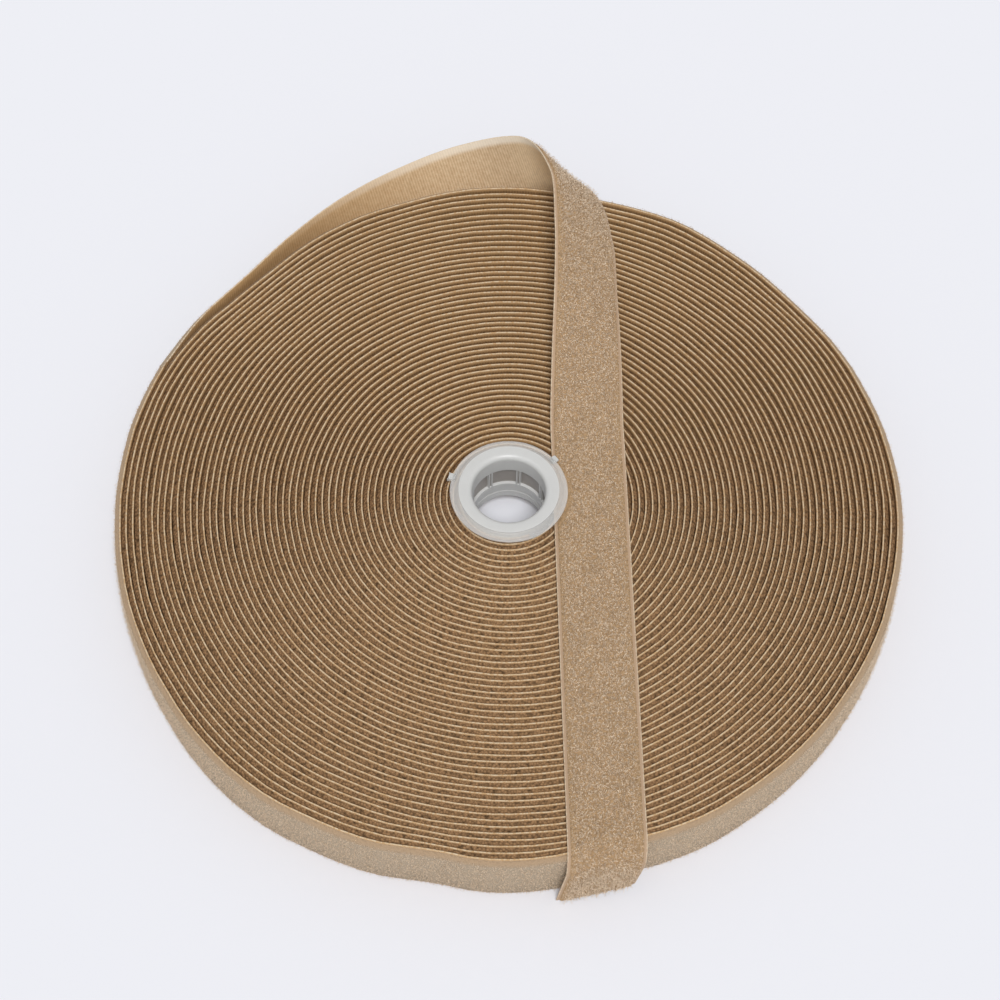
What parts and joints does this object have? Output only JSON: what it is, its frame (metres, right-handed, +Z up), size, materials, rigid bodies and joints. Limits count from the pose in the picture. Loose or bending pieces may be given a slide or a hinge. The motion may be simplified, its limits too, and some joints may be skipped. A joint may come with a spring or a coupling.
{
  "type": "loop tape roll",
  "caption": "Flat roll of woven loop fastening tape wound on a small moulded core, its free end lying across the top face under the core's flange.",
  "frame": {"origin": "under the middle of the whole roll, at the level that it lies on", "axes": "+Z up along the core's axis, +Y along the strap from the front rim to the loop behind the coil, +X to the right"},
  "size_m": [0.2624, 0.2834, 0.0485],
  "materials": {
    "tape": "beige napped loop pile on a plain woven backing",
    "core": "translucent natural polypropylene, satin as moulded",
    "strip": "adhesive transfer tape"
  },
  "bodies": {
    "roll": {"core_upper": "core", "core_lower": "core", "start_strip": "strip", "inner_turns": "tape", "outer_turns": "tape", "tail_loop": "tape"},
    "tail": {"tail_end": "tape"}
  },
  "joints": [
    {"name": "tail_lift", "type": "hinge", "parent": "roll", "child": "tail", "pos_m": [0.02795, -0.03118, 0.027], "axis": [-1, 0, 0], "range_deg": [0, 120]}
  ]
}
